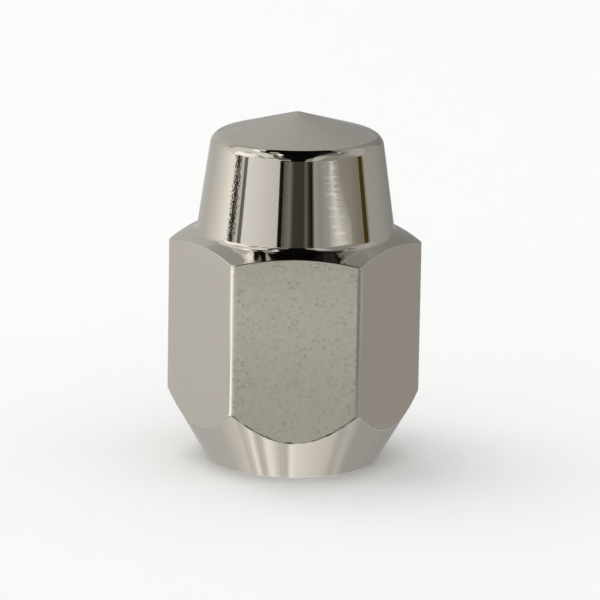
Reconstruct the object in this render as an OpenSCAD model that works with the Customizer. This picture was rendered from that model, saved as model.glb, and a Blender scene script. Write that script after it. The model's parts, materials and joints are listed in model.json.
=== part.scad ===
// Closed-end wheel lug nut, cold forged and plated in one piece. A hexagon with
// a conical seat below, a tapered crown above and a blind threaded hole.
// Millimetres, +Z up, origin at the centre of the ring-shaped end of the seat.

/* [Hexagon] */
// Distance across the flats, the wrench size
hex_flats = 21; // [19:0.5:24]
// Radius along the six upright edges
hex_edge_r = 0.8; // [0.1:0.1:1]

/* [Seat] */
// Included angle of the conical seat
seat_angle = 60; // [50:1:80]
// Width of the flat ring around the mouth of the hole
ring_w = 0.9; // [0.6:0.1:1.6]
// Radius between the ring and the seat
ring_edge_r = 0.2; // [0.1:0.05:0.5]

/* [Shoulder] */
// Height from the ring up to the foot of the crown
shoulder_h = 22.3; // [18:0.1:28]
// Slope of the hexagon's top chamfer, from horizontal
shoulder_angle = 25; // [15:1:35]
// Width of the ledge from the flats in to the crown
shoulder_w = 1.1; // [0.8:0.1:2]
// Radius in the corner between the chamfer and the crown
crown_root_r = 0.75; // [0.3:0.05:0.9]

/* [Crown] */
// Height of the crown's tapered side
crown_side_h = 9; // [7:0.1:12]
// Draft of the crown's side, from vertical
crown_draft = 8; // [2:0.5:12]
// Radius on the crown's upper rim
crown_rim_r = 1.15; // [0.5:0.05:2.5]
// Slope of the crown's conical top, from horizontal
top_angle = 16.5; // [10:0.5:25]
// Radius on the point of the top
top_tip_r = 1.4; // [0.5:0.1:4]

/* [Threaded hole] */
// Nominal diameter of the stud thread
thread_d = 14; // [12:0.5:14]
// Pitch of the stud thread
thread_pitch = 1.5; // [1.25:0.25:2]
// Metal left between the point of the hole and the top of the crown
top_wall = 4; // [3:0.1:6]
// Included angle of the hole's point
drill_angle = 118; // [90:1:140]
// Included angle of the countersink at the mouth
mouth_angle = 90; // [60:1:120]
// How far the countersink stands outside the thread, on the radius
mouth_margin = 0.3; // [0.1:0.05:0.5]

/* [Hidden] */
$fn = 96;
chrome = [0.66, 0.64, 0.60];
// Depth of an ISO metric nut thread on both sides together, in pitches
iso_thread_depth = 1.0825;
// Small overrun that carries a cut clear through a face
overrun = 0.01;

// Hexagon
hex_sides = 6;
hex_step = 360 / hex_sides;
flat_dist = hex_flats / 2;
hex_edge_dist = (flat_dist - hex_edge_r) / cos(hex_step / 2);
// The turned blank is wider than the hexagon's corners, so the flats cut it
blank_r = hex_flats / 2 / cos(hex_step / 2) + hex_edge_r;

// Hole
minor_r = (thread_d - iso_thread_depth * thread_pitch) / 2;
mouth_r = thread_d / 2 + mouth_margin;
mouth_depth = (mouth_r - minor_r) / tan(mouth_angle / 2);

// Turned outline
ring_r = mouth_r + ring_w;
seat_top_h = (blank_r - ring_r) / tan(seat_angle / 2);
crown_foot_r = flat_dist - shoulder_w;
blank_top_h = shoulder_h - (blank_r - crown_foot_r) * tan(shoulder_angle);
rim_h = shoulder_h + crown_side_h;
rim_r = crown_foot_r - crown_side_h * tan(crown_draft);
apex_h = rim_h + rim_r * tan(top_angle);

// Height of the rounded top, and the hole's depth up to its point
top_h = apex_h - top_tip_r * (1 / cos(top_angle) - 1);
point_h = minor_r / tan(drill_angle / 2);
hole_depth = top_h - top_wall - point_h;

// Corners of the turned outline, each as [radius, height, corner radius]. The
// last one mirrors the rim, so that the tip is rounded across the axis.
outline = [
    [0, 0, 0],
    [ring_r, 0, ring_edge_r],
    [blank_r, seat_top_h, 0],
    [blank_r, blank_top_h, 0],
    [crown_foot_r, shoulder_h, crown_root_r],
    [rim_r, rim_h, crown_rim_r],
    [0, apex_h, top_tip_r],
    [-rim_r, rim_h, 0],
];
corners = [0 : len(outline) - 1];

function unit(v) = v / norm(v);
function point(i) = let (c = outline[(i + len(outline)) % len(outline)]) [c[0], c[1]];
function round_r(i) = outline[i][2];
// Directions from a corner to its neighbours, and half the angle between them
function back_dir(i) = unit(point(i - 1) - point(i));
function next_dir(i) = unit(point(i + 1) - point(i));
function half_angle(i) = acos(back_dir(i) * next_dir(i)) / 2;
// A rounding starts this far from its corner, and its circle is centred here
function round_run(i) = round_r(i) / tan(half_angle(i));
function round_centre(i) =
    point(i) + unit(back_dir(i) + next_dir(i)) * round_r(i) / sin(half_angle(i));
function stands_out(i) = cross(back_dir(i), next_dir(i)) < 0;

// A sharp corner is one point. A round one goes by way of its circle's centre.
function corner_path(i) = round_r(i) == 0 ? [point(i)] : [
    point(i) + back_dir(i) * round_run(i),
    round_centre(i),
    point(i) + next_dir(i) * round_run(i),
];

module corner_circles(outward) {
    for (i = corners)
        if (round_r(i) > 0 && stands_out(i) == outward)
            translate(round_centre(i)) circle(r = round_r(i));
}

// Half section of the outside, as it would be turned on a lathe
module turned_section() {
    intersection() {
        union() {
            difference() {
                polygon([for (i = corners) each corner_path(i)]);
                corner_circles(outward = false);
            }
            corner_circles(outward = true);
        }
        square([blank_r + overrun, apex_h]);
    }
}

// Hexagon with round edges, a flat towards -Y and edges on the X axis
module hexagon() {
    edge_angles = [for (i = [0 : hex_sides - 1]) i * hex_step];
    function around(distance, angle) = distance * [cos(angle), sin(angle)];
    polygon([
        for (a = edge_angles, side = [-1, 1])
            around(hex_edge_dist, a) + around(hex_edge_r, a + side * hex_step / 2)
    ]);
    for (a = edge_angles)
        translate(around(hex_edge_dist, a)) circle(r = hex_edge_r);
}

// Countersink, tapped length at its minor diameter, and pointed end
module stud_hole() {
    flare = overrun * tan(mouth_angle / 2);
    rotate_extrude()
        polygon([
            [0, -overrun],
            [mouth_r + flare, -overrun],
            [minor_r, mouth_depth],
            [minor_r, hole_depth],
            [0, hole_depth + point_h],
        ]);
}

module lug_nut() {
    color(chrome)
        difference() {
            intersection() {
                rotate_extrude() turned_section();
                linear_extrude(height = apex_h) hexagon();
            }
            stud_hole();
        }
}

lug_nut();
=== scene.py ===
"""A closed-end wheel lug nut in bright plate, dressed over its construction model.

The nut is one piece: a turned outline cut by a hexagon, with a helical thread in a
blind hole. Metres, +Z up, standing on the ring-shaped end of its conical seat.
"""

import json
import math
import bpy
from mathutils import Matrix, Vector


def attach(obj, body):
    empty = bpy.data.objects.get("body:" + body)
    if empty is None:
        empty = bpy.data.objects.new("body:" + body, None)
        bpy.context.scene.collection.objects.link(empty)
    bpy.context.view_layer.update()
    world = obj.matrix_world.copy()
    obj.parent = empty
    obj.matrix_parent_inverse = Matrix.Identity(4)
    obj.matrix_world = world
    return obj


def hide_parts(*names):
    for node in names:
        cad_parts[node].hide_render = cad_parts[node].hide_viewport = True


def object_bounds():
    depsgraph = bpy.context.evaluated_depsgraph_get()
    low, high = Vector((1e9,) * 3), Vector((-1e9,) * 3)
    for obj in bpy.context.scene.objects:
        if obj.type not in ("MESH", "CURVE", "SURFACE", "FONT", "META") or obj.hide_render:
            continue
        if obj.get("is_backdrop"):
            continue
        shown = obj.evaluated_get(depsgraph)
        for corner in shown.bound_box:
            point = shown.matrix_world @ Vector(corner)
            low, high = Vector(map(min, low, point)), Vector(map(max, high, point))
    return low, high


bl_info = {
    "name": "Wheel Lug Nut",
    "version": (1, 0, 0),
    "blender": (4, 5, 0),
    "location": "View3D > Sidebar > Lug Nut",
    "description": "Builds a plated closed-end wheel nut and a small studio around it",
    "category": "Add Mesh",
}

from functools import partial
from typing import NamedTuple

import bmesh
import bpy
from bpy.props import FloatProperty, FloatVectorProperty, PointerProperty
from mathutils import Matrix, Vector

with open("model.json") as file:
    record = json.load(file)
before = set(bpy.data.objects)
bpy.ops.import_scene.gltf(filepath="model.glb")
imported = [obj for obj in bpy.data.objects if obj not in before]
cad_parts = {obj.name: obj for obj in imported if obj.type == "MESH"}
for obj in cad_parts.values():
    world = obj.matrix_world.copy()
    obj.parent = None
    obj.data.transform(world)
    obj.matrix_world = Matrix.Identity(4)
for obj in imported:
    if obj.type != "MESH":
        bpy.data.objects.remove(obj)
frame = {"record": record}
CAD_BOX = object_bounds()

MM = 0.001
NODE = "lug_nut"
MOUNTS = {mount["name"]: mount for mount in frame["record"]["mounts"]}
HEX_FLATS = MOUNTS["flat_back"]["pos_m"][1] - MOUNTS["flat_front"]["pos_m"][1]
MINOR_R = MOUNTS["stud_thread"]["dims"]["r_mm"] * MM
TOP_H = CAD_BOX[1].z
UP = Vector((0, 0, 1))


# ---- Sizes and finishes


def setting(kind, name, description, default, **limits):
    """A property of one of the groups below."""
    return kind(name=name, description=description, default=default, **limits)


def angle(name, description, degrees):
    """A property that holds an angle."""
    return setting(FloatProperty, name, description, math.radians(degrees), unit="ROTATION")


length = partial(setting, FloatProperty, min=0, precision=5, unit="LENGTH")
colour = partial(setting, FloatVectorProperty, min=0, max=1, subtype="COLOR")
amount = partial(setting, FloatProperty, min=0, max=1, precision=3)


class LugNutSizes(bpy.types.PropertyGroup):
    """Sizes of the nut."""

    hex_flats: length("Across flats", "Wrench size of the hexagon", HEX_FLATS)
    hex_edge_r: length("Upright edges", "Radius along the six upright edges", 0.8 * MM)
    flat_edge_r: length("Flat's top edge", "Radius where a flat meets the shoulder", 0.12 * MM)
    seat_edge_r: length("Flat's lower edge", "Radius where a flat meets the seat", 0.6 * MM)
    seat_angle: angle("Seat angle", "Included angle of the conical seat", 60)
    ring_w: length("Ring width", "Width of the flat ring around the mouth", 0.9 * MM)
    ring_edge_r: length("Ring edge", "Radius between the ring and the seat", 0.2 * MM)
    shoulder_h: length("Shoulder height", "Height up to the foot of the crown", 22.3 * MM)
    shoulder_angle: angle("Shoulder slope", "Slope of the hexagon's top chamfer", 25)
    shoulder_w: length("Shoulder width", "Width of the ledge from the flats to the crown", 1.1 * MM)
    crown_root_r: length("Crown root", "Radius between the shoulder and the crown", 0.75 * MM)
    crown_side_h: length("Crown side", "Height of the crown's tapered side", 9 * MM)
    crown_draft: angle("Crown draft", "Draft of the crown's side", 8)
    crown_rim_r: length("Crown rim", "Radius on the crown's upper rim", 1.15 * MM)
    top_angle: angle("Top slope", "Slope of the crown's conical top", 16.5)
    top_tip_r: length("Tip", "Radius on the point of the top", 1.4 * MM)
    top_h: length("Height", "Height of the nut", TOP_H)


class LugNutHole(bpy.types.PropertyGroup):
    """Sizes of the threaded hole."""

    thread_d: length("Thread diameter", "Nominal diameter of the stud thread", 14 * MM)
    pitch: length("Pitch", "Pitch of the stud thread", 1.5 * MM)
    minor_r: length("Minor radius", "Radius of the hole before it is tapped", MINOR_R)
    mouth_margin: length("Countersink", "How far the mouth stands outside the thread", 0.3 * MM)
    mouth_edge_r: length("Mouth edge", "Radius between the ring and the countersink", 0.1 * MM)
    thread_end: length("Thread end", "Height at which the thread has run out", 23 * MM)
    runout: amount("Run-out", "Turns over which the thread fades into the hole", 1.5, max=5)
    top_wall: length("Top wall", "Metal between the hole's point and the top", 4 * MM)
    drill_angle: angle("Point angle", "Included angle of the hole's point", 118)


# ---- Turned outline


class Corner(NamedTuple):
    """A corner of the half section: its place, its radius and how many steps round it."""

    r: float
    z: float
    rounding: float
    steps: int


class Station(NamedTuple):
    """A point of the half section, with its normal. flat is 1 on a wrench flat, and edge is
    1 in the middle of the rounding at either end of a flat."""

    r: float
    z: float
    normal: Vector
    flat: float
    edge: float


class Column(NamedTuple):
    """One direction around the nut, with the hexagon's reach and facing there."""

    turn: float
    reach: float
    facing: float


EDGE_STEPS, FLAT_STEPS = 8, 28
RIM_STEPS, ROOT_STEPS, SMALL_STEPS = 16, 10, 4
HEX_SIDES = 6
HEX_STEP = math.tau / HEX_SIDES


def hexagon_columns(size):
    """Directions around the rounded hexagon, close together over its upright edges."""
    flat_dist = size.hex_flats / 2
    edge_dist = (flat_dist - size.hex_edge_r) / math.cos(HEX_STEP / 2)
    columns = []
    for side in range(HEX_SIDES):
        edge_turn = side * HEX_STEP
        for step in range(EDGE_STEPS + 1):
            facing = (step / EDGE_STEPS - 0.5) * HEX_STEP
            x = edge_dist + size.hex_edge_r * math.cos(facing)
            y = size.hex_edge_r * math.sin(facing)
            turn = edge_turn + math.atan2(y, x)
            columns.append(Column(turn, math.hypot(x, y), edge_turn + facing))
        flat_start = columns[-1].turn
        flat_facing = edge_turn + HEX_STEP / 2
        flat_sweep = 2 * (flat_facing - flat_start)
        for step in range(1, FLAT_STEPS):
            turn = flat_start + flat_sweep * step / FLAT_STEPS
            columns.append(Column(turn, flat_dist / math.cos(turn - flat_facing), flat_facing))
    return columns


def outside_corners(size, hole, reach):
    """Corners of the half section from the tip to the hole's mouth, at one reach."""
    crown_foot_r = size.hex_flats / 2 - size.shoulder_w
    rim_h = size.shoulder_h + size.crown_side_h
    rim_r = crown_foot_r - size.crown_side_h * math.tan(size.crown_draft)
    mouth_r = hole.thread_d / 2 + hole.mouth_margin
    ring_r = mouth_r + size.ring_w
    tip_r = size.top_tip_r * math.tan(size.top_angle / 2)
    shoulder_edge_h = size.shoulder_h - (reach - crown_foot_r) * math.tan(size.shoulder_angle)
    seat_edge_h = (reach - ring_r) / math.tan(size.seat_angle / 2)
    return [
        Corner(tip_r, size.top_h, size.top_tip_r, SMALL_STEPS),
        Corner(rim_r, rim_h, size.crown_rim_r, RIM_STEPS),
        Corner(crown_foot_r, size.shoulder_h, size.crown_root_r, ROOT_STEPS),
        Corner(reach, shoulder_edge_h, size.flat_edge_r, SMALL_STEPS),
        Corner(reach, seat_edge_h, size.seat_edge_r, SMALL_STEPS),
        Corner(ring_r, 0, size.ring_edge_r, SMALL_STEPS),
        Corner(mouth_r, 0, hole.mouth_edge_r, SMALL_STEPS),
    ]


SHOULDER_EDGE, SEAT_EDGE = 3, 4  # their places in that list


def left_of(direction):
    """The direction turned a quarter to the left, which is outwards along the section."""
    return Vector((-direction.y, direction.x))


def rounded(before, corner, after):
    """Points and normals round a corner, from where its radius starts to where it ends."""
    place = Vector((corner.r, corner.z))
    arriving = (place - before).normalized()
    leaving = (after - place).normalized()
    turning = arriving.angle_signed(leaving, 0.0)
    run = corner.rounding * math.tan(abs(turning) / 2)
    side = 1 if turning > 0 else -1
    centre = place - arriving * run - left_of(arriving) * corner.rounding * side
    for step in range(corner.steps + 1):
        normal = left_of(arriving)
        normal.rotate(Matrix.Rotation(-turning * step / corner.steps, 2))
        yield centre + normal * corner.rounding * side, normal


def outside_stations(size, hole, reach):
    """The outside's half section at one reach, from the tip to the countersink."""
    corners = outside_corners(size, hole, reach)
    start = Vector((0, size.top_h))
    thread_start = Vector((hole.thread_d / 2, hole.mouth_margin))
    places = [start, *(Vector((c.r, c.z)) for c in corners), thread_start]
    stations = []
    for i, corner in enumerate(corners):
        for step, (place, normal) in enumerate(rounded(places[i], corner, places[i + 2])):
            share = step / corner.steps
            flat = {SHOULDER_EDGE: share, SEAT_EDGE: 1 - share}.get(i, 0.0)
            edge = 0.0
            if i in (SHOULDER_EDGE, SEAT_EDGE):
                edge = min(1, 2 - abs(4 * share - 2))
            stations.append(Station(place.x, place.y, normal, flat, edge))
    return stations


# ---- Thread rows

# Where the rows lie in one pitch, from the middle of a root, so that each corner of
# the thread has a narrow bevel
THREAD_PHASES = (0.045, 0.08, 0.36, 0.39, 0.61, 0.64, 0.92, 0.955)
ROWS_PER_TURN = len(THREAD_PHASES)
BEYOND = 2.0  # pitches that the plain rings lie past the thread's ends


def thread_start_h(hole):
    """Height at which the countersink is as wide as the thread's root."""
    return hole.mouth_margin


def thread_turns(hole):
    """How many pitches the thread takes up."""
    return (hole.thread_end - thread_start_h(hole)) / hole.pitch


def thread_rows(hole):
    """(lead, phase) of each row at turn 0, a plain ring at both ends. lead counts pitches
    from the thread's start, and the rows climb by one pitch in each turn round the hole."""
    turns = thread_turns(hole)
    climbing = [
        (pitches + phase - 1, phase)
        for pitches in range(math.ceil(turns) + 2)
        for phase in THREAD_PHASES
    ]
    return [(-BEYOND, 0.0), *climbing, (turns + BEYOND, 0.0)]


def next_turn_row(row, rows):
    """The thread row that carries this one on past the seam, one pitch further."""
    last = len(rows) - 1
    if row in (0, last):
        return row
    return min(row + ROWS_PER_TURN, last)


def hole_end(size, hole):
    """The plain end of the hole: where its wall stops, and its point."""
    point_h = hole.minor_r / math.tan(hole.drill_angle / 2)
    depth = size.top_h - hole.top_wall - point_h
    return [(hole.minor_r, depth), (0.0, depth + point_h)]


# ---- The shell


FRONT_FACING = -math.pi / 2
FRONT_FOCUS = 4  # how quickly the pitting and the darker edge lines fade away from the front
# The front flat's right upright edge carries a darker broken line: where it faces, and how far it
# spreads
DARK_LINE_FACING = FRONT_FACING + math.radians(16)
DARK_LINE_SPREAD = math.radians(14)
END_LINE = 1.45  # how dark the line along a flat's two ends is, next to that along its upright edges
SATIN_FOCUS = 3  # how quickly the satin fades past a flat's two ends
EDGE_SATIN = 0.3  # how satin an upright edge is, next to a flat


def worn(station, facing):
    """How pitted a place is as a flat worn by wrenches, and how dark a line it carries as an edge
    between two faces, most of all on the front."""
    ahead = max(0.0, math.cos(facing - FRONT_FACING)) ** FRONT_FOCUS
    beside = max(0.0, 1 - abs(facing - DARK_LINE_FACING) / DARK_LINE_SPREAD)
    return station.flat * ahead, max(END_LINE * station.edge * ahead, station.flat * beside)


def satin_share(station, facing):
    """How satin a place is: 1 on a wrench flat, less where an upright edge is burnished."""
    past_edge = abs((facing / HEX_STEP + 0.5) % 1 - 0.5) * 2
    return station.flat**SATIN_FOCUS * (EDGE_SATIN + (1 - EDGE_SATIN) * past_edge)


SHELL_VALUES = {
    "lead": "FLOAT",
    "phase": "FLOAT",
    "threaded": "BOOLEAN",
    "satin": "FLOAT",
    "worn_flat": "FLOAT",
    "dark_edge_line": "FLOAT",
    "true_normal": "FLOAT_VECTOR",
}


def shell_columns(size, hole, threads):
    """The shell's points, column by column from the tip to the hole's point, each with what
    SHELL_VALUES names. A value of 0 is left out."""
    for column in hexagon_columns(size):
        radial = Vector((math.cos(column.turn), math.sin(column.turn), 0))
        facing = Vector((math.cos(column.facing), math.sin(column.facing), 0))
        points = []
        for station in outside_stations(size, hole, column.reach):
            outwards = radial.lerp(facing, station.flat).normalized() * station.normal.x
            worn_flat, dark_edge_line = worn(station, column.facing)
            values = {
                "satin": satin_share(station, column.facing),
                "worn_flat": worn_flat,
                "dark_edge_line": dark_edge_line,
                "true_normal": outwards + UP * station.normal.y,
            }
            points.append((radial * station.r + UP * station.z, values))
        for lead, phase in threads:
            values = {"lead": lead + column.turn / math.tau, "phase": phase, "threaded": True}
            points.append((radial * hole.minor_r, values))
        for r, z in hole_end(size, hole):
            points.append((radial * r + UP * z, {}))
        yield points


def shell_faces(count, rows, first_thread, threads):
    """Faces between neighbouring columns. Where the last column meets the first, the
    thread's rows have climbed by one pitch."""

    def across_seam(row):
        if first_thread <= row < first_thread + len(threads):
            return first_thread + next_turn_row(row - first_thread, threads)
        return row

    for column in range(count):
        following = (column + 1) % count
        step_over = across_seam if following == 0 else (lambda row: row)
        for row in range(rows - 1):
            corners = [
                column * rows + row,
                column * rows + row + 1,
                following * rows + step_over(row + 1),
                following * rows + step_over(row),
            ]
            face = list(dict.fromkeys(corners))
            if len(face) > 2:
                yield face


def shell_mesh(size, hole):
    """The nut as one closed grid, its thread not cut yet, with what the thread and the
    finish need in attributes."""
    threads = thread_rows(hole)
    columns = list(shell_columns(size, hole, threads))
    rows = len(columns[0])
    first_thread = rows - len(threads) - len(hole_end(size, hole))
    points = [point for column in columns for point in column]
    faces = list(shell_faces(len(columns), rows, first_thread, threads))
    mesh = bpy.data.meshes.new("lug_nut_shell")
    mesh.from_pydata([place for place, values in points], [], faces)
    for name, kind in SHELL_VALUES.items():
        attribute = mesh.attributes.new(name, kind, "POINT")
        if kind == "FLOAT_VECTOR":
            vectors = [values.get(name, (0, 0, 0)) for place, values in points]
            attribute.data.foreach_set("vector", [x for vector in vectors for x in vector])
        else:
            attribute.data.foreach_set("value", [values.get(name, 0) for place, values in points])
    return mesh


# ---- Node tree helpers


def link_or_set(tree, socket, value):
    """Feeds an input from another node's output, or sets it to a plain value."""
    if isinstance(value, bpy.types.NodeSocket):
        tree.links.new(value, socket)
    else:
        socket.default_value = value


def add_node(tree, kind, inputs=(), **settings):
    """A new node with its settings and inputs. inputs maps a name or an index to a value."""
    node = tree.nodes.new(kind)
    for name, value in settings.items():
        setattr(node, name, value)
    for key, value in dict(inputs).items():
        link_or_set(tree, node.inputs[key], value)
    return node


def calculate(tree, operation, *values, clamp=False):
    """The output of a Math node. Where it's called often it is shortened to m."""
    settings = {"operation": operation, "use_clamp": clamp}
    return add_node(tree, "ShaderNodeMath", enumerate(values), **settings).outputs[0]


def node_material(name):
    """A new material, and its node tree."""
    material = bpy.data.materials.new(name)
    material.use_nodes = True
    return material, material.node_tree


def spread_nodes(tree, column_width=200, row_height=180, rows=6):
    """Lays a tree's nodes out in the order in which they were made."""
    for i, node in enumerate(tree.nodes):
        node.location = (i // rows * column_width, -(i % rows) * row_height)


# ---- Cutting the thread

CREST_EDGE = 0.375  # phase at which a flank meets the crest, in pitches from the root
FLANK_SPAN = 0.3125  # pitches that a flank takes up
HALF_PITCH = 0.5
MERGE_DISTANCE = 0.0005 * MM


def thread_tree(names):
    """Geometry nodes that wind the threaded rows into a helix and close the shell. names are
    those of its plain inputs."""
    tree = bpy.data.node_groups.new("Stud Thread", "GeometryNodeTree")
    tree.interface.new_socket("Geometry", in_out="OUTPUT", socket_type="NodeSocketGeometry")
    tree.interface.new_socket("Geometry", in_out="INPUT", socket_type="NodeSocketGeometry")
    for name in names:
        tree.interface.new_socket(name, in_out="INPUT", socket_type="NodeSocketFloat")
    tree.interface.new_socket("Material", in_out="INPUT", socket_type="NodeSocketMaterial")
    given = tree.nodes.new("NodeGroupInput").outputs
    m = partial(calculate, tree)

    def attribute(name, data_type="FLOAT"):
        kind = "GeometryNodeInputNamedAttribute"
        return add_node(tree, kind, {"Name": name}, data_type=data_type).outputs["Attribute"]

    # Height: the rows climb with the lead, and stop at both ends of the thread
    lead = m("MINIMUM", m("MAXIMUM", attribute("lead"), 0.0), given["Turns"])
    height = m("MULTIPLY_ADD", lead, given["Pitch"], given["Start Height"])

    # Radius: a flat root, two flanks and a flat crest, which fade out at the end
    from_root = m("PINGPONG", attribute("phase"), HALF_PITCH)
    depth = m("DIVIDE", m("SUBTRACT", CREST_EDGE, from_root), FLANK_SPAN, clamp=True)
    fade = m("DIVIDE", m("SUBTRACT", given["Turns"], lead), given["Run-out"], clamp=True)
    full_depth = m("SUBTRACT", given["Root Radius"], given["Crest Radius"])
    cut = m("MULTIPLY", m("MULTIPLY", depth, fade), full_depth)
    thread_r = m("ADD", given["Crest Radius"], cut)

    # The countersink takes the tops off the first turns
    radius = m("MAXIMUM", thread_r, m("SUBTRACT", given["Mouth Radius"], height))

    position = add_node(tree, "GeometryNodeInputPosition").outputs[0]
    place = add_node(tree, "ShaderNodeSeparateXYZ", {0: position}).outputs
    turn = m("ARCTAN2", place["Y"], place["X"])
    across = m("MULTIPLY", radius, m("COSINE", turn))
    ahead = m("MULTIPLY", radius, m("SINE", turn))
    wound = add_node(tree, "ShaderNodeCombineXYZ", {"X": across, "Y": ahead, "Z": height})
    threaded = attribute("threaded", "BOOLEAN")

    geometry = given["Geometry"]
    for kind, inputs in (
        ("SetPosition", {"Selection": threaded, "Position": wound.outputs[0]}),
        ("MergeByDistance", {"Distance": MERGE_DISTANCE}),
        ("SetShadeSmooth", {}),
        ("RealizeInstances", {}),
        ("SetMaterial", {"Material": given["Material"]}),
    ):
        geometry = add_node(tree, "GeometryNode" + kind, {0: geometry, **inputs}).outputs[0]
    add_node(tree, "NodeGroupOutput", {"Geometry": geometry})
    spread_nodes(tree)
    return tree


def with_modifier(piece, tree, inputs):
    """Runs a geometry node tree on a piece once, and leaves its result as a plain mesh."""
    modifier = piece.modifiers.new(tree.name, "NODES")
    modifier.node_group = tree
    for name, value in inputs.items():
        modifier[tree.interface.items_tree[name].identifier] = value
    depsgraph = bpy.context.evaluated_depsgraph_get()
    evaluated = piece.evaluated_get(depsgraph)
    piece.data = bpy.data.meshes.new_from_object(evaluated, depsgraph=depsgraph)
    piece.modifiers.clear()


SHARP_ANGLE = math.radians(20)


def crease_thread(mesh):
    """Marks the thread's edges as sharp."""
    shell = bmesh.new()
    shell.from_mesh(mesh)
    hidden = shell.verts.layers.bool["threaded"]
    for edge in shell.edges:
        inside = all(vert[hidden] for vert in edge.verts)
        if inside and edge.calc_face_angle(0) > SHARP_ANGLE:
            edge.smooth = False
    shell.to_mesh(mesh)
    shell.free()


def use_true_normals(mesh):
    """Shades the outside by the surface it stands for, so that flats reflect as flats."""
    normals = [tuple(item.vector) for item in mesh.attributes["true_normal"].data]
    mesh.normals_split_custom_set_from_vertices(normals)
    for name in ("lead", "phase", "threaded", "true_normal"):
        mesh.attributes.remove(mesh.attributes[name])


# ---- Plate


class LugNutFinish(bpy.types.PropertyGroup):
    """Finish of the nut."""

    plate: colour("Plate", "Colour of the bright plate", (0.50, 0.465, 0.405))
    polish: amount("Polish", "Roughness of the turned surfaces", 0.045)
    satin: amount("Satin", "Roughness of the wrench flats", 0.26)
    pit_spacing: length("Pit spacing", "Distance between pits on the flats", 0.36 * MM)
    pit_r: length("Pit radius", "Radius of the larger pits", 0.20 * MM)
    pit_bend: length("Pit bend", "How far the pits are pulled out of round", 0.45 * MM)
    pit_depth: length("Pit depth", "Depth of the pits", 0.003 * MM)
    pit_shade: amount("Pit shade", "How much darker a pit is", 0.22)
    pit_patch: length("Pit patches", "Size of the patches where pits are many or few", 1.6 * MM)
    grain: length("Grain", "Size of the satin's mottling", 0.45 * MM)
    grain_shade: amount("Grain shade", "How much the mottling changes the shade", 0.13)
    other_flats: amount("Other flats", "How pitted the other flats are, next to the front", 0.12)
    # edge_shade and edge_patch darken the plate's colour in broken lines along the front flat's
    # edges
    edge_shade: amount("Edge shade", "How much darker the worn edges are", 0.9)
    edge_patch: length("Edge patches", "Size of the gaps in the worn edges' lines", 1.3 * MM)


class ScuffAndPaintedLight(NamedTuple):
    """A worn place on the crown: its turn from the front at the crown's foot, how far it leans for
    each millimetre up, and half its width, in degrees, then the size of its marks along the turn
    and upright and their depth in millimetres, and how they change the shade. That change of shade
    is painted light: darker specks of painted reflection, or lighter strokes of painted highlight."""

    name: str
    turn: float
    lean: float
    half_width: float
    marks: tuple
    depth: float
    shade: float


# speckled darkens the plate in specks where the crown shows the dark wall sheet, a painted dark
# reflection; scratched lightens it in strokes over the bright streak, a painted highlight. Both are
# also real marks, as a bump.
SCUFFS_AND_PAINTED_LIGHT = (
    ScuffAndPaintedLight("speckled", -42.1, 0.0, 4.8, (0.24, 0.24), 0.013, -0.42),
    ScuffAndPaintedLight("scratched", 27.0, -0.8, 6.5, (1.8, 0.42), 0.006, 0.24),
)
MARK_FIRMNESS = 2.0  # how quickly a scuff and its painted light fade in from its sides
MARK_FULL = 0.1  # rise at which a mark has its whole painted shade or highlight
PIT_PATCHES = (0.20, 0.56)  # noise below which there are no pits, and above which most
PIT_RARITY = 1.2  # how much rarer large pits are than small ones
PIT_STEEPNESS = 1.5  # of a pit's side, where 1 is a cone
EDGE_LINE = (0.38, 0.95)  # level at which an edge's dark line starts, and is full


def turn_and_height(tree, place):
    """The turn of a place from the nut's front, and its height."""
    parts = add_node(tree, "ShaderNodeSeparateXYZ", {0: place}).outputs
    forward = calculate(tree, "MULTIPLY", parts["Y"], -1.0)
    return calculate(tree, "ARCTAN2", parts["X"], forward), parts["Z"]


def unrolled(tree, place, along_scale, up_scale=1.0):
    """Coordinates on the nut's outside rolled flat: along its turn, and upright."""
    turn, up = turn_and_height(tree, place)
    along = calculate(tree, "MULTIPLY", turn, along_scale)
    upright = calculate(tree, "MULTIPLY", up, up_scale)
    return add_node(tree, "ShaderNodeCombineXYZ", {"X": along, "Y": upright}).outputs[0]


def noise(tree, place, size, detail=1.0):
    """Soft noise with marks of one size, mostly from 0.3 to 0.7."""
    inputs = {"Vector": place, "Scale": 1 / size, "Detail": detail}
    return add_node(tree, "ShaderNodeTexNoise", inputs).outputs["Fac"]


def ramp(tree, value, low, high):
    """0 up to low, 1 from high, and straight between."""
    above = calculate(tree, "SUBTRACT", value, low)
    return calculate(tree, "MULTIPLY", above, 1 / (high - low), clamp=True)


def pit_mask(tree, skin, finish):
    """1 in the pits, which lie in patches and in many sizes, and 0 between them."""
    m = partial(calculate, tree)
    inputs = {"Vector": skin, "Scale": 1 / finish.pit_spacing}
    bends = add_node(tree, "ShaderNodeTexNoise", {**inputs, "Detail": 1.0}).outputs["Color"]
    inputs["Vector"] = add_node(
        tree,
        "ShaderNodeVectorMath",
        {0: bends, 1: [finish.pit_bend] * 3, 2: skin},
        operation="MULTIPLY_ADD",
    ).outputs[0]
    cells = add_node(tree, "ShaderNodeTexVoronoi", inputs, voronoi_dimensions="2D").outputs
    chance = add_node(tree, "ShaderNodeSeparateColor", {0: cells["Color"]}).outputs["Red"]
    patch = ramp(tree, noise(tree, inputs["Vector"], finish.pit_patch), *PIT_PATCHES)
    spread = m("MULTIPLY", m("POWER", chance, PIT_RARITY), patch)
    reach = m("MULTIPLY", spread, finish.pit_r / finish.pit_spacing)
    inside = m("SUBTRACT", reach, cells["Distance"])
    steepness = PIT_STEEPNESS * finish.pit_spacing / finish.pit_r
    return m("MULTIPLY", inside, steepness, clamp=True)


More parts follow.
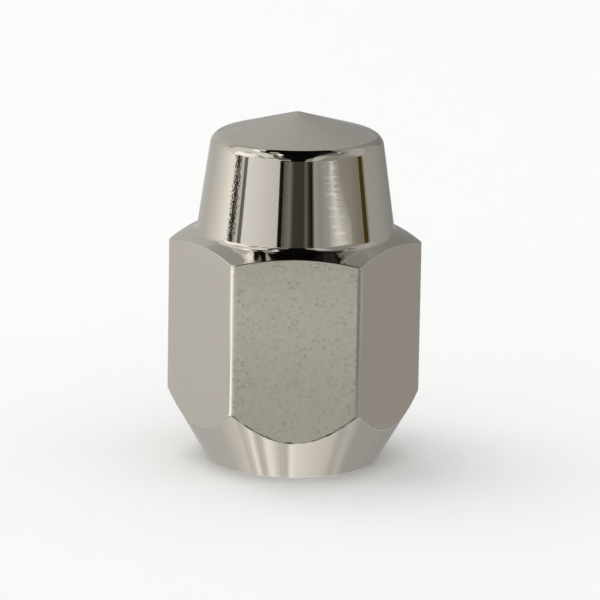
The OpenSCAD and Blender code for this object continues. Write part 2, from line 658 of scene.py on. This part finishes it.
def scuff_and_painted_light_swing(tree, place, scuff, size):
    """How much one scuff's marks rise or fall, from -0.5 to 0.5, and 0 away from it. It drives both
    the scuff's bump and its painted light.
    """
    m = partial(calculate, tree)
    along, upright = scuff.marks
    crown_foot_r = size.hex_flats / 2 - size.shoulder_w
    marks = unrolled(tree, place, crown_foot_r / (along * MM), 1 / (upright * MM))
    swing = m("SUBTRACT", noise(tree, marks, 1.0, detail=2.0), 0.5)

    turn, up = turn_and_height(tree, place)
    above_foot = m("SUBTRACT", up, size.shoulder_h)
    lean, start = math.radians(scuff.lean) / MM, math.radians(scuff.turn)
    middle = m("MULTIPLY_ADD", above_foot, lean, start)
    away = m("ABSOLUTE", m("SUBTRACT", turn, middle))
    near = m("MULTIPLY_ADD", away, -1 / math.radians(scuff.half_width), 1.0)
    mask = m("MULTIPLY", near, MARK_FIRMNESS, clamp=True)
    return m("MULTIPLY", swing, mask)


def on_crown_side(tree, place, size):
    """1 on the crown's tapered side, and 0 elsewhere."""
    m = partial(calculate, tree)
    up = turn_and_height(tree, place)[1]
    bottom = size.shoulder_h + size.crown_root_r / 2
    top = size.shoulder_h + size.crown_side_h - size.crown_rim_r / 2
    return m("MULTIPLY", m("GREATER_THAN", up, bottom), m("LESS_THAN", up, top))


def plate_material(finish, size):
    """Bright plate: mirror-like where it is turned, satin with fine pits on the flats, darker in
    broken lines along the front flat's edges, and scuffed on the crown, where the scuffs carry
    painted dark reflection and painted highlight."""
    material, tree = node_material("bright_plate")
    m = partial(calculate, tree)
    shader = tree.nodes["Principled BSDF"]
    shader.inputs["Metallic"].default_value = 1
    place = add_node(tree, "ShaderNodeTexCoord").outputs["Object"]

    def held(name):
        return add_node(tree, "ShaderNodeAttribute", attribute_name=name).outputs["Fac"]

    # Pits and mottling on the flats, and broken dark lines along the front flat's edges, which
    # darken the plate's colour
    flat = held("satin")
    pitted = m("MULTIPLY", flat, finish.other_flats)
    pitted = m("MAXIMUM", held("worn_flat"), pitted)
    pits = pit_mask(tree, unrolled(tree, place, size.hex_flats / 2), finish)
    pits = m("MULTIPLY", pits, pitted)
    grain = m("SUBTRACT", noise(tree, place, finish.grain, detail=0.0), 0.5)
    grain = m("MULTIPLY", grain, pitted)
    line = m("MULTIPLY", noise(tree, place, finish.edge_patch), held("dark_edge_line"))
    line = ramp(tree, line, *EDGE_LINE)

    shade = m("MULTIPLY_ADD", pits, -finish.pit_shade, 1.0)
    shade = m("MULTIPLY_ADD", grain, finish.grain_shade, shade)
    shade = m("MULTIPLY_ADD", line, -finish.edge_shade, shade)
    height = m("MULTIPLY", pits, -finish.pit_depth / MM)

    on_side = on_crown_side(tree, place, size)
    # Each scuff is a bump and also painted light: its marks darken or lighten the plate's colour.
    for scuff in SCUFFS_AND_PAINTED_LIGHT:
        swing = m("MULTIPLY", scuff_and_painted_light_swing(tree, place, scuff, size), on_side)
        mark = ramp(tree, swing, 0.0, MARK_FULL)
        shade = m("MULTIPLY_ADD", mark, scuff.shade, shade)
        height = m("MULTIPLY_ADD", swing, scuff.depth, height)

    shaded = {0: finish.plate, "Scale": shade}
    tint = add_node(tree, "ShaderNodeVectorMath", shaded, operation="SCALE")
    tree.links.new(tint.outputs[0], shader.inputs["Base Color"])
    rough = m("MULTIPLY_ADD", flat, finish.satin - finish.polish, finish.polish)
    tree.links.new(rough, shader.inputs["Roughness"])
    relief = add_node(tree, "ShaderNodeBump", {"Height": height, "Distance": MM})
    tree.links.new(relief.outputs[0], shader.inputs["Normal"])
    spread_nodes(tree)
    return material


class LUGNUT_OT_nut(bpy.types.Operator):
    """Build the nut: its outside, its thread and its plate"""

    bl_idname = "lug_nut.nut"
    bl_label = "Nut"
    bl_options = {"REGISTER", "UNDO"}

    def execute(self, context):
        size = context.scene.lug_nut_sizes
        hole = context.scene.lug_nut_hole
        piece = bpy.data.objects.new("wheel_nut", shell_mesh(size, hole))
        context.scene.collection.objects.link(piece)
        thread = {
            "Pitch": hole.pitch,
            "Root Radius": hole.thread_d / 2,
            "Crest Radius": hole.minor_r,
            "Mouth Radius": hole.thread_d / 2 + hole.mouth_margin,
            "Start Height": thread_start_h(hole),
            "Turns": thread_turns(hole),
            "Run-out": hole.runout,
        }
        plate = plate_material(context.scene.lug_nut_finish, size)
        with_modifier(piece, thread_tree(thread), {**thread, "Material": plate})
        crease_thread(piece.data)
        use_true_normals(piece.data)
        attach(piece, "root")
        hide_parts(NODE)
        return {"FINISHED"}


# ---- Studio


class LugNutStudio(bpy.types.PropertyGroup):
    """Studio around the nut."""

    floor_hole_r: length("Floor hole", "Radius of the hole in the floor under the nut", 8.15 * MM)
    floor: colour("Floor", "Colour of the floor and the backdrop", (0.95, 0.95, 0.945))
    world: colour("Surroundings", "Colour of the light from all around", (0.95, 0.95, 0.95))
    key_power: amount("Key light", "Power of the soft light from the left, in watts", 1, max=100)
    # tent_r and tent_middle_h place the glowing sheets of painted reflection, which only the plate
    # shows
    tent_r: length("Tent radius", "From the nut to the upright sheets around it", 100 * MM)
    tent_middle_h: length("Tent middle", "Height of the middle of the tent's roof", 28 * MM)
    roof_r: length("Roof radius", "From the nut to the tent's roof", 900 * MM)
    roof_gap: length("Roof gap", "Between a sheet of the roof and the next in front of it", 1 * MM)
    sheet_lift: length("Sheet lift", "Height of the sheets that lie on the floor", 0.2 * MM)
    # foot_lift keeps these painted reflection sheets just over the floor, so that the seat's lowest
    # part shows them and not the shadowed floor
    foot_lift: length("Foot sheet lift", "Height of the sheets close to the seat", 0.02 * MM)
    camera_distance: length("Camera distance", "From the camera to the nut's middle", 558 * MM)
    view_w: length("View width", "Width of the view at the nut's middle", 57.13 * MM)
    middle_h: length("Middle height", "Height of the nut's middle", 17 * MM)
    aim_right: length("Aim to the right", "How far the camera aims right of the middle", 0.502 * MM)
    aim_below: length("Aim below", "How far the camera aims below the middle", 1.685 * MM)
    camera_turn: angle("Camera turn", "Turn of the camera around the nut, to the right", -0.98)
    camera_rise: angle("Camera rise", "Rise of the camera over the horizon", 13.99)
    camera_roll: angle("Camera roll", "Lean of the camera to its left", 1.01)


def on_turn(turn, distance, height=0.0):
    """A place around the nut. A turn of 0 is in front, and a positive one to the right."""
    return Vector((math.sin(turn) * distance, -math.cos(turn) * distance, height))


def linked(name, data):
    """A new object in the scene."""
    thing = bpy.data.objects.new(name, data)
    bpy.context.scene.collection.objects.link(thing)
    return thing


def aimed(thing, place, target, roll=0.0):
    """Puts a camera or a light at a place, facing a target."""
    thing.location = place
    facing = (target - place).to_track_quat("-Z", "Y")
    thing.rotation_mode = "QUATERNION"
    thing.rotation_quaternion = facing @ Matrix.Rotation(roll, 3, "Z").to_quaternion()
    return thing.rotation_quaternion


CLIP = (10 * MM, 10000 * MM)  # the nearest and the furthest that the camera sees


def add_camera(studio):
    """The camera, which aims a little off the nut's middle."""
    camera = bpy.data.cameras.new("camera")
    camera.lens = camera.sensor_width * studio.camera_distance / studio.view_w
    camera.clip_start, camera.clip_end = CLIP
    thing = linked("camera", camera)
    middle = UP * studio.middle_h
    level_distance = studio.camera_distance * math.cos(studio.camera_rise)
    rise = studio.camera_distance * math.sin(studio.camera_rise)
    place = middle + on_turn(studio.camera_turn, level_distance, rise)
    facing = aimed(thing, place, middle, studio.camera_roll)
    aim = middle + facing @ Vector((studio.aim_right, -studio.aim_below, 0))
    aimed(thing, place, aim, studio.camera_roll)
    bpy.context.scene.camera = thing


KEY_PLACE, KEY_SIZE = Vector((-300, 150, 600)) * MM, 500 * MM


def add_key_light(studio):
    """A soft square lamp that faces the nut and isn't seen in the plate."""
    lamp = bpy.data.lights.new("key_light", "AREA")
    lamp.size = KEY_SIZE
    lamp.energy = studio.key_power
    thing = linked("key_light", lamp)
    thing.visible_glossy = False
    aimed(thing, KEY_PLACE, UP * studio.middle_h)


class Sheet(NamedTuple):
    """A sheet of painted reflection, glowing or dark and seen only in the plate, from one turn to
    another in degrees. Its span is from edge to edge, its glow from its first turn to its last, and
    low is its glow along the lower edge, next to that along the upper one."""

    name: str
    turns: tuple
    span: tuple
    glow: tuple
    tint: tuple = (1, 1, 1)
    low: float = 1.0


def bands(span, start, *rows):
    """Sheets side by side from a first turn. Each row holds a name, the turn at which the
    sheet ends, its glow, and its tint and low where it has them."""
    sheets = []
    for name, end, *looks in rows:
        sheets.append(Sheet(name, (start, end), span, *looks))
        start = end
    return sheets


# Tints of the sheets
NEUTRAL = (1, 1, 1)
FAINT_ROSE = (1, 0.97, 0.965)
FAINT_WARM = (1, 0.965, 0.91)
WARM = (1, 0.92, 0.80)
OLIVE = (1, 0.78, 0.12)
BROWN = (1, 0.95, 0.81)
COOL = (1, 1.01, 1.05)
FAINT_COOL = (1, 1, 1.02)
FAINT_PINK = (1, 0.985, 1)
FAINT_GREEN = (0.96, 1, 0.95)

# Upright sheets around the nut, glowing or dark as painted reflections, which the crown's side
# reflects: heights in millimetres
WALL_SPAN, STREAK_SPAN = (4, 46), (4, 36)
WALL = bands(
    WALL_SPAN,
    -169,
    ("back_left", -157, (0.60, 0.68)),
    ("left_plain", -130, (0.66, 0.77)),
    ("left_soft", -108, (0.77, 1.06)),
    ("left_glow", -83, (1.06, 1.60)),
    ("left_dark", -75, (0.10, 0.03), BROWN),
    ("left_gap", -69.5, (0.98, 0.92)),
    ("left_line", -64.5, (0.20, 0.30), BROWN),
    ("left_bright", -41, (1.27, 1.12), COOL),
    ("left_front", -21.5, (1.12, 0.98), FAINT_PINK),
    ("slit_left", -17, (0.02, 0.005), BROWN),
    ("slit_grey", -8.6, (0.14, 0.33), FAINT_WARM),
    ("slit_fall", -4.2, (0.32, 0.07), FAINT_WARM),
    ("slit_middle", 8.2, (0.08, 0.07), BROWN),
    ("slit_light", 12.4, (0.15, 0.22), FAINT_WARM),
    ("slit_right", 17.4, (0.08, 0.005), BROWN),
    ("slit_end", 19.8, (0.005, 0.30), BROWN),
    ("right_front", 27, (0.56, 0.46)),
    ("right_rise", 38, (0.46, 0.60)),
)
WALL += bands(
    STREAK_SPAN,
    38,
    ("right_streak", 46.5, (0.62, 1.08), NEUTRAL, 1.15),
    ("right_fall", 53, (1.08, 0.70), NEUTRAL, 1.15),
    ("right_dim", 59, (0.70, 0.46), NEUTRAL, 1.15),
)
WALL += bands(
    WALL_SPAN,
    59,
    ("right_grey", 72, (0.46, 0.39), FAINT_WARM),
    ("right_brown", 82.5, (0.39, 0.34), WARM),
    ("right_olive", 89.2, (0.09, 0.09), OLIVE),
    ("right_edge", 93, (0.30, 0.60), WARM),
    ("right_back", 115, (0.60, 0.55)),
    ("back_right", 145, (0.55, 0.36)),
    ("back_far", 168, (0.33, 0.32)),
    ("back_middle", 191, (0.36, 0.50)),
)

# The sheets around this turn lean to the left: by so many degrees for each millimetre up,
# less to both sides of it, and only so far above and below a middle height
STREAK_TURN, STREAK_SPREAD, STREAK_LEAN = 56, 16, 2.2
STREAK_MIDDLE, STREAK_REACH = 28, 4

# Glowing sheets that lie on the floor, painted reflections which the flats reflect in place of the
# floor: radii in millimetres
FLOOR_NEAR, FLOOR_FAR, FLOOR_ALL = (19, 60), (60, 130), (19, 130)
FLOOR_CLOSE, FLOOR_BEYOND = (19, 50), (50, 130)
FLOOR = (
    Sheet("front", (-20, 16), FLOOR_NEAR, (0.65, 0.65), FAINT_GREEN),
    Sheet("front_far", (-20, 16), FLOOR_FAR, (1.02, 1.02), FAINT_GREEN),
    Sheet("left_rise", (-38, -20), FLOOR_ALL, (1.05, 0.75)),
    Sheet("left_front", (-64, -38), FLOOR_NEAR, (2.30, 1.35)),
    Sheet("left_front_far", (-64, -38), FLOOR_FAR, (2.10, 1.10)),
    Sheet("left", (-94, -64), FLOOR_NEAR, (0.82, 0.82)),
    Sheet("left_far", (-94, -64), FLOOR_FAR, (1.10, 2.10)),
    Sheet("left_back", (-150, -94), FLOOR_ALL, (0.85, 0.85), FAINT_COOL),
    Sheet("right_front", (16, 46), FLOOR_CLOSE, (0.47, 0.47)),
    Sheet("right_front_far", (16, 46), FLOOR_BEYOND, (0.34, 0.34)),
    Sheet("right", (46, 72), FLOOR_ALL, (0.42, 0.66)),
    Sheet("right_side", (72, 100), FLOOR_NEAR, (0.48, 0.48), FAINT_ROSE),
    Sheet("right_side_far", (72, 100), FLOOR_FAR, (0.66, 0.58)),
    Sheet("right_back", (100, 150), FLOOR_ALL, (0.49, 0.48), FAINT_ROSE),
    Sheet("back_right", (150, 180), FLOOR_ALL, (0.40, 0.27)),
    Sheet("back_left", (180, 210), FLOOR_ALL, (0.45, 0.70)),
)

# Glowing sheets at the foot, painted reflections which the seat reflects: the facing of the seat
# that shows them and its height there, in millimetres. They start below the ring, to reach under
# its round edge, so that the edge shows their painted light in place of the floor's shadow next to
# the nut
SEAT_SPAN = (-0.2, 7.5)
FOOT = bands(
    SEAT_SPAN,
    -76,
    ("far_left", -60, (0.55, 0.66)),
    ("left", -40, (0.66, 0.80)),
    ("left_rise", -28.5, (0.78, 1.04)),
    ("left_fall", -26.5, (1.04, 0.89)),
    ("left_edge", -24, (0.89, 1.05)),
    ("left_line", -22, (1.05, 1.48)),
    ("left_shade", -19, (1.48, 0.86)),
    ("dip", -17, (0.86, 0.92)),
    ("bright_edge", -14.5, (0.92, 1.44)),
    ("bright", -12.5, (1.46, 1.42)),
    ("fall", -8, (1.42, 0.96)),
    ("shade", -3.6, (0.94, 0.88)),
    ("middle_edge", -1.6, (0.95, 1.46)),
    ("middle", 2, (1.50, 1.29)),
    ("right_light", 20, (1.29, 0.96)),
    ("right_dim", 23.5, (0.96, 0.74)),
    ("right_line", 28, (0.74, 0.84)),
    ("right_edge", 33, (0.84, 0.61)),
    ("right", 50, (0.61, 0.56)),
    ("far_right", 76, (0.54, 0.34)),
)

# The roof of glowing and dark sheets, painted reflections which the rounded rim and the cone
# reflect: rises in degrees. Here and overhead, a later sheet hangs in front of the ones before it
ROOF = (
    Sheet("ceiling", (-180, 180), (24, 89.9), (0.62, 0.62)),
    Sheet("upper_back_left", (-170, -139), (4, 47), (0.72, 0.80), NEUTRAL, 0.95),
    Sheet("upper_left_back", (-141, -104), (4, 34), (0.78, 1.12)),
    Sheet("upper_left", (-106, -61), (4, 30), (1.25, 1.25)),
    Sheet("upper_left_front", (-63, -21), (4, 28), (1.10, 1.00)),
    Sheet("front_left_dark", (-21.5, -8), (4, 18), (0.05, 0.09), BROWN),
    Sheet("front_left_light", (-22, -8), (17.5, 22), (0.80, 0.62)),
    Sheet("front_right_light", (9, 20), (4, 19), (0.80, 0.65)),
    Sheet("upper_right_front", (20, 60), (0, 32), (0.46, 0.43)),
    Sheet("upper_right", (60, 95), (4, 32), (0.40, 0.56)),
    Sheet("upper_right_back", (94, 142), (4, 48), (0.58, 0.52)),
    Sheet("upper_back_right", (140, 166), (4, 54), (0.50, 0.48), FAINT_ROSE, 0.56),
    Sheet("upper_back", (164, 180), (4, 52), (0.61, 0.68), NEUTRAL, 0.60),
    Sheet("upper_middle", (178, 192), (4, 52), (0.66, 0.74), NEUTRAL, 0.80),
)

# Glowing and dark sheets that run overhead from front to back, painted reflections seen only in the
# plate. Each row of an outline is an arc from the front horizon over the top, its left and right
# sides there in degrees, and its glow
# DARK is the glow of the near-black sheets: painted dark reflection
DARK = 0.004
OVERHEAD = {
    "left_wide": ((20, -84, -8, 1.2), (90, -84, -8, 1.2), (124, -70, -12, 1.1)),
    "left_lamp": ((30, -80, -56, 1.75), (45, -80, -53, 1.45), (60, -80, -50, 1.8)),
    "left_lamp_high": ((60, -80, -50, 1.8), (100, -80, -55, 1.8)),
    "left_shade": ((24, -46, -38, 0.8), (46, -48, -40, 0.5), (60, -45, -41, 0.8)),
    "left_shade_high": ((80, -52, -39, 1.1), (86, -52, -40, 0.62), (95, -50, -41, 1.0)),
    "left_shade_near": ((28, -36, -26, 0.7), (34, -36, -26, 0.38), (44, -38, -28, 0.8)),
    "left_spark": ((56, -50, -44.5, 1.4), (62, -50, -44.5, 1.9), (69, -50, -45, 1.8)),
    "left_slat": (
        (22, -23, -9, 0.15),
        (33, -26, -9, 0.15),
        (52, -27, -9, 0.15),
        (68, -23, -9, 0.18),
    ),
    "slat_spark": ((43, -21.5, -17, 0.6), (52, -22, -18, 0.95)),
    "left_slat_high": ((68, -25, -9, 0.5), (86, -25, -9, 0.42), (89, -26, -9, 0.1)),
    "back_left": ((122, -20, -9, 0.52), (137, -22, -12, 0.55), (143, -24, -14, 0.72)),
    "right_wide": ((8, 9, 82, 0.42), (60, 9, 82, 0.45), (120, 9, 82, 0.68), (128, 28, 70, 0.64)),
    "right_far": ((58, 43, 84, 0.46), (74, 43, 84, 0.52), (86, 43, 84, 0.68), (120, 43, 84, 0.68)),
    "right_arc": ((18, 18, 26, 0.82), (40, 19, 32, 0.80), (66, 19, 33, 0.58)),
    "right_shade": ((68, 20, 44, 0.36), (84, 20, 44, 0.25), (98, 24, 44, 0.27)),
    "right_back": ((98, 23, 34, 0.45), (108, 18, 33, 0.44), (122, 11, 30, 0.60)),
    "back_right": ((119, 10, 20, 0.38), (126, 10, 19.5, 0.38), (134, 11, 19.5, 0.48)),
    "right_spark": ((86, 34.5, 37.5, 0.75), (94, 30.5, 33.5, 0.8), (101, 27.4, 29.8, 0.8)),
    "arch_edge": ((101, 25, 27.4, 0.3), (104, 24, 27, 0.2), (111, 20, 24.2, 0.25)),
    "arch_front": ((8, -8, 9, DARK), (30, -9, 11, DARK), (42, -14, 16, DARK)),
    "arch_knee": ((42, -17, 17, DARK), (60, -13, 20, DARK), (79, -12, 24, DARK)),
    "arch": ((79, -20, 24, DARK), (90, -26, 25.5, DARK), (101, -27, 25.8, DARK)),
    "arch_back": ((101, -23, 25.8, DARK), (105, -17, 25, DARK), (110, -15.5, 21, DARK)),
    "arch_end": ((110, -15.5, 21, DARK), (120, -11, 14, DARK), (128, -7, 10.5, DARK)),
    "arch_tip": ((128, -7, 10.5, DARK), (132.5, -4, 7.5, DARK)),
    "arch_faint": ((80, 13, 18, 0.012), (88, 14, 19, 0.02), (104, 16, 20.5, 0.02)),
    "arch_fringe": ((80, 18, 23.5, 0.03), (88, 19, 24.8, 0.055), (104, 20.5, 24, 0.06)),
    "white_card": (
        (61, -18, -15, 1.4),
        (65, -18, -14.5, 1.7),
        (74, -17.5, -13, 2.0),
        (79, -17, -11.5, 2.0),
    ),
    "white_card_high": ((86, -19.5, -12.5, 1.1), (93, -19, -12, 0.8), (98, -17, -11, 0.6)),
    "grey_slat": ((92, -22.6, -21.6, 0.4), (103, -23, -22, 0.4)),
    "back_card_left": ((96, -31, -26, 1.2), (115, -28, -20, 1.1), (121, -21, -15, 0.8)),
    "back_card": (
        (95, -27.5, -25.4, 1.9),
        (104, -26.5, -23.4, 2.3),
        (110, -25, -21, 2.1),
        (118, -21, -15, 1.0),
    ),
}
TURN_STEP = 3.0  # degrees between two ribs, at most
RIB_STEPS = 24
RIB_SHARES = [step / RIB_STEPS for step in range(RIB_STEPS + 1)]


def blended(first, last, share):
    """A mix of two numbers."""
    return first + (last - first) * share


def stops(first, last):
    """Shares from 0 to 1 that cut a stretch of degrees into short steps."""
    steps = max(1, math.ceil(abs(last - first) / TURN_STEP))
    return [step / steps for step in range(steps + 1)]


def ribs(corner, outline, tint=NEUTRAL, low=1.0):
    """The points of each rib of a sheet, and their colours. corner(along, across) is where
    a rib passes."""
    for first, last in zip(outline, outline[1:]):
        for share in stops(first[0], last[0]):
            along, *sides, glow = (blended(a, b, share) for a, b in zip(first, last))
            points = [corner(along, blended(*sides, part)) for part in RIB_SHARES]
            glows = [glow * blended(low, 1.0, part) for part in RIB_SHARES]
            yield points, [[here * part for part in tint] for here in glows]


def sheet_ribs(corner, sheet):
    """The ribs of a sheet with straight sides."""
    outline = [(turn, *sheet.span, glow) for turn, glow in zip(sheet.turns, sheet.glow)]
    return ribs(corner, outline, sheet.tint, sheet.low)


def glow_material():
    """Emission in the colour that its mesh holds, for the sheets of painted reflection, which glow
    though they are no lamps.
    """
    material, tree = node_material("painted_reflection_glow")
    tree.nodes.clear()
    glow = add_node(tree, "ShaderNodeAttribute", attribute_name="glow").outputs["Color"]
    emission = add_node(tree, "ShaderNodeEmission", {"Color": glow})
    add_node(tree, "ShaderNodeOutputMaterial", {"Surface": emission.outputs[0]})
    spread_nodes(tree)
    return material


def add_painted_reflection_part(name, sheets):
    """Glowing sheets in one object, painted reflections which only the plate's reflections show.
    Each sheet is given as its ribs."""
    points, faces, glow = [], [], []
    for sheet in sheets:
        start = len(points)
        for rib, colours in sheet:
            points += rib
            for tint in colours:
                glow += [*tint, 1.0]
        step = len(RIB_SHARES)
        for first in range(start, len(points) - step, step):
            for n in range(first, first + step - 1):
                faces.append((n, n + 1, n + step + 1, n + step))
    mesh = bpy.data.meshes.new(name)
    mesh.from_pydata(points, [], faces)
    mesh.attributes.new("glow", "FLOAT_COLOR", "POINT").data.foreach_set("color", glow)
    mesh.materials.append(bpy.data.materials.get("painted_reflection_glow") or glow_material())
    thing = linked(name, mesh)
    for ray in ("camera", "diffuse", "transmission", "volume_scatter", "shadow"):
        setattr(thing, f"visible_{ray}", False)
    thing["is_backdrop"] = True


def rising(turn, rise):
    """The direction at a turn, so many degrees above the horizon."""
    turn, rise = math.radians(turn), math.radians(rise)
    return on_turn(turn, math.cos(rise), math.sin(rise))


def overhead(arc, side):
    """The direction at an arc from the front horizon over the top, and at a side of it."""
    arc, side = math.radians(arc), math.radians(side)
    return Vector((math.tan(side), -math.cos(arc), math.sin(arc))).normalized()


def mirrored_in_seat(size, hole, facing, height, floor_h):
    """The place on the floor that the seat shows the camera, where it has this facing."""
    slope = size.seat_angle / 2
    ring_r = hole.thread_d / 2 + hole.mouth_margin + size.ring_w
    place = on_turn(facing, ring_r + height * math.tan(slope), height)
    view = (place - bpy.context.scene.camera.location).normalized()
    mirrored = view.reflect(on_turn(facing, math.cos(slope), -math.sin(slope)))
    return place + mirrored * (floor_h - height) / mirrored.z


def add_tent(studio, size, hole):
    """The painted reflections around the nut, as glowing and dark sheets: a wall, sheets on the
    floor, and a roof.
    """
    middle = UP * studio.tent_middle_h

    def on_wall(turn, height):
        past_streak = max(0.0, 1 - abs(turn - STREAK_TURN) / STREAK_SPREAD)
        above = max(-STREAK_REACH, min(STREAK_REACH, height - STREAK_MIDDLE))
        lean = math.radians(STREAK_LEAN) * past_streak * above
        return on_turn(math.radians(turn) - lean, studio.tent_r, height * MM)

    def on_floor(turn, radius):
        return on_turn(math.radians(turn), radius * MM, studio.sheet_lift)

    def at_foot(facing, height):
        facing = math.radians(facing)
        return mirrored_in_seat(size, hole, facing, height * MM, studio.foot_lift)

    def on_roof(layer, direction_at):
        distance = studio.roof_r - layer * studio.roof_gap
        return lambda a, b: middle + direction_at(a, b) * distance

    roof = [sheet_ribs(on_roof(layer, rising), sheet) for layer, sheet in enumerate(ROOF)]
    for layer, outline in enumerate(OVERHEAD.values(), len(ROOF)):
        roof.append(ribs(on_roof(layer, overhead), outline))
    for name, corner, sheets in (
        ("painted_reflection_wall", on_wall, WALL),
        ("painted_reflection_floor", on_floor, FLOOR),
        ("painted_reflection_foot", at_foot, FOOT),
    ):
        add_painted_reflection_part(name, [sheet_ribs(corner, sheet) for sheet in sheets])
    add_painted_reflection_part("painted_reflection_roof", roof)


# The floor is flat as far as the last of these rings, and curves up to the backdrop
FLOOR_RINGS = (20 * MM, 60 * MM, 200 * MM, 550 * MM)
BACKDROP_R, BACKDROP_H = 1000 * MM, 1100 * MM
FLOOR_TURNS, BEND_STEPS = 96, 12


def floor_profile(studio):
    """Half section of the floor, which curves up into the backdrop. It is open under
    the nut, so that light reaches the nut's underside."""
    profile = [(r, 0.0) for r in (studio.floor_hole_r, *FLOOR_RINGS)]
    bend_r = BACKDROP_R - FLOOR_RINGS[-1]
    for step in range(1, BEND_STEPS + 1):
        turn = math.pi / 2 * step / BEND_STEPS
        reach = FLOOR_RINGS[-1] + bend_r * math.sin(turn)
        profile.append((reach, bend_r * (1 - math.cos(turn))))
    profile.append((BACKDROP_R, BACKDROP_H))
    return profile


def floor_material(studio):
    """Pale paper, which is clear from beneath so that the nut's underside can be seen."""
    material, tree = node_material("pale_paper")
    shader = tree.nodes["Principled BSDF"]
    shader.inputs["Base Color"].default_value = (*studio.floor, 1)
    shader.inputs["Roughness"].default_value = 1
    shader.inputs["Specular IOR Level"].default_value = 0
    beneath = add_node(tree, "ShaderNodeNewGeometry").outputs["Backfacing"]
    clear = add_node(tree, "ShaderNodeBsdfTransparent").outputs[0]
    mix = add_node(tree, "ShaderNodeMixShader", {0: beneath, 1: shader.outputs[0], 2: clear})
    tree.links.new(mix.outputs[0], tree.nodes["Material Output"].inputs["Surface"])
    return material


def add_floor(studio):
    """The floor and backdrop, in one sheet of pale paper."""
    profile = floor_profile(studio)
    turns = [i / FLOOR_TURNS * math.tau for i in range(FLOOR_TURNS)]
    points = [on_turn(turn, r, z) for turn in turns for r, z in profile]
    faces = []
    for i in range(FLOOR_TURNS):
        here = i * len(profile)
        following = (i + 1) % FLOOR_TURNS * len(profile)
        for j in range(len(profile) - 1):
            faces.append((here + j, here + j + 1, following + j + 1, following + j))
    mesh = bpy.data.meshes.new("floor")
    mesh.from_pydata(points, [], faces)
    mesh.shade_smooth()
    mesh.materials.append(floor_material(studio))
    linked("floor", mesh)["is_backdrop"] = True


class LUGNUT_OT_studio(bpy.types.Operator):
    """Set up the camera, the lights, the floor and the glowing sheets of painted reflection around
    the nut
    """

    bl_idname = "lug_nut.studio"
    bl_label = "Studio"
    bl_options = {"REGISTER", "UNDO"}

    def execute(self, context):
        studio = context.scene.lug_nut_studio
        add_camera(studio)
        world = bpy.data.worlds.new("surroundings")
        world.use_nodes = True
        world.node_tree.nodes["Background"].inputs["Color"].default_value = (*studio.world, 1)
        context.scene.world = world
        add_floor(studio)
        add_key_light(studio)
        add_tent(studio, context.scene.lug_nut_sizes, context.scene.lug_nut_hole)
        context.scene.view_settings.view_transform = "Standard"
        return {"FINISHED"}


# ---- Panel


class LUGNUT_PT_parts(bpy.types.Panel):
    """The nut's sizes and finish, and a button for each step."""

    bl_label = "Wheel Lug Nut"
    bl_space_type = "VIEW_3D"
    bl_region_type = "UI"
    bl_category = "Lug Nut"

    def draw(self, context):
        for operator in OPERATORS:
            self.layout.operator(operator.bl_idname)
        for name, group in SETTINGS.items():
            box = self.layout.box()
            box.label(text=group.__doc__.rstrip("."))
            for field in group.__annotations__:
                box.prop(getattr(context.scene, name), field)


SETTINGS = {
    "lug_nut_sizes": LugNutSizes,
    "lug_nut_hole": LugNutHole,
    "lug_nut_finish": LugNutFinish,
    "lug_nut_studio": LugNutStudio,
}
OPERATORS = (LUGNUT_OT_nut, LUGNUT_OT_studio)
CLASSES = (*SETTINGS.values(), *OPERATORS, LUGNUT_PT_parts)


def register():
    for cls in CLASSES:
        bpy.utils.register_class(cls)
    for name, group in SETTINGS.items():
        setattr(bpy.types.Scene, name, PointerProperty(type=group))


def unregister():
    for name in SETTINGS:
        delattr(bpy.types.Scene, name)
    for cls in reversed(CLASSES):
        bpy.utils.unregister_class(cls)


def main():
    register()
    bpy.ops.lug_nut.nut()
    bpy.ops.lug_nut.studio()
    boxes = {"cad": CAD_BOX, "visual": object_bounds()}
    {name: [list(corner) for corner in box] for name, box in boxes.items()}


if __name__ == "__main__":
    main()
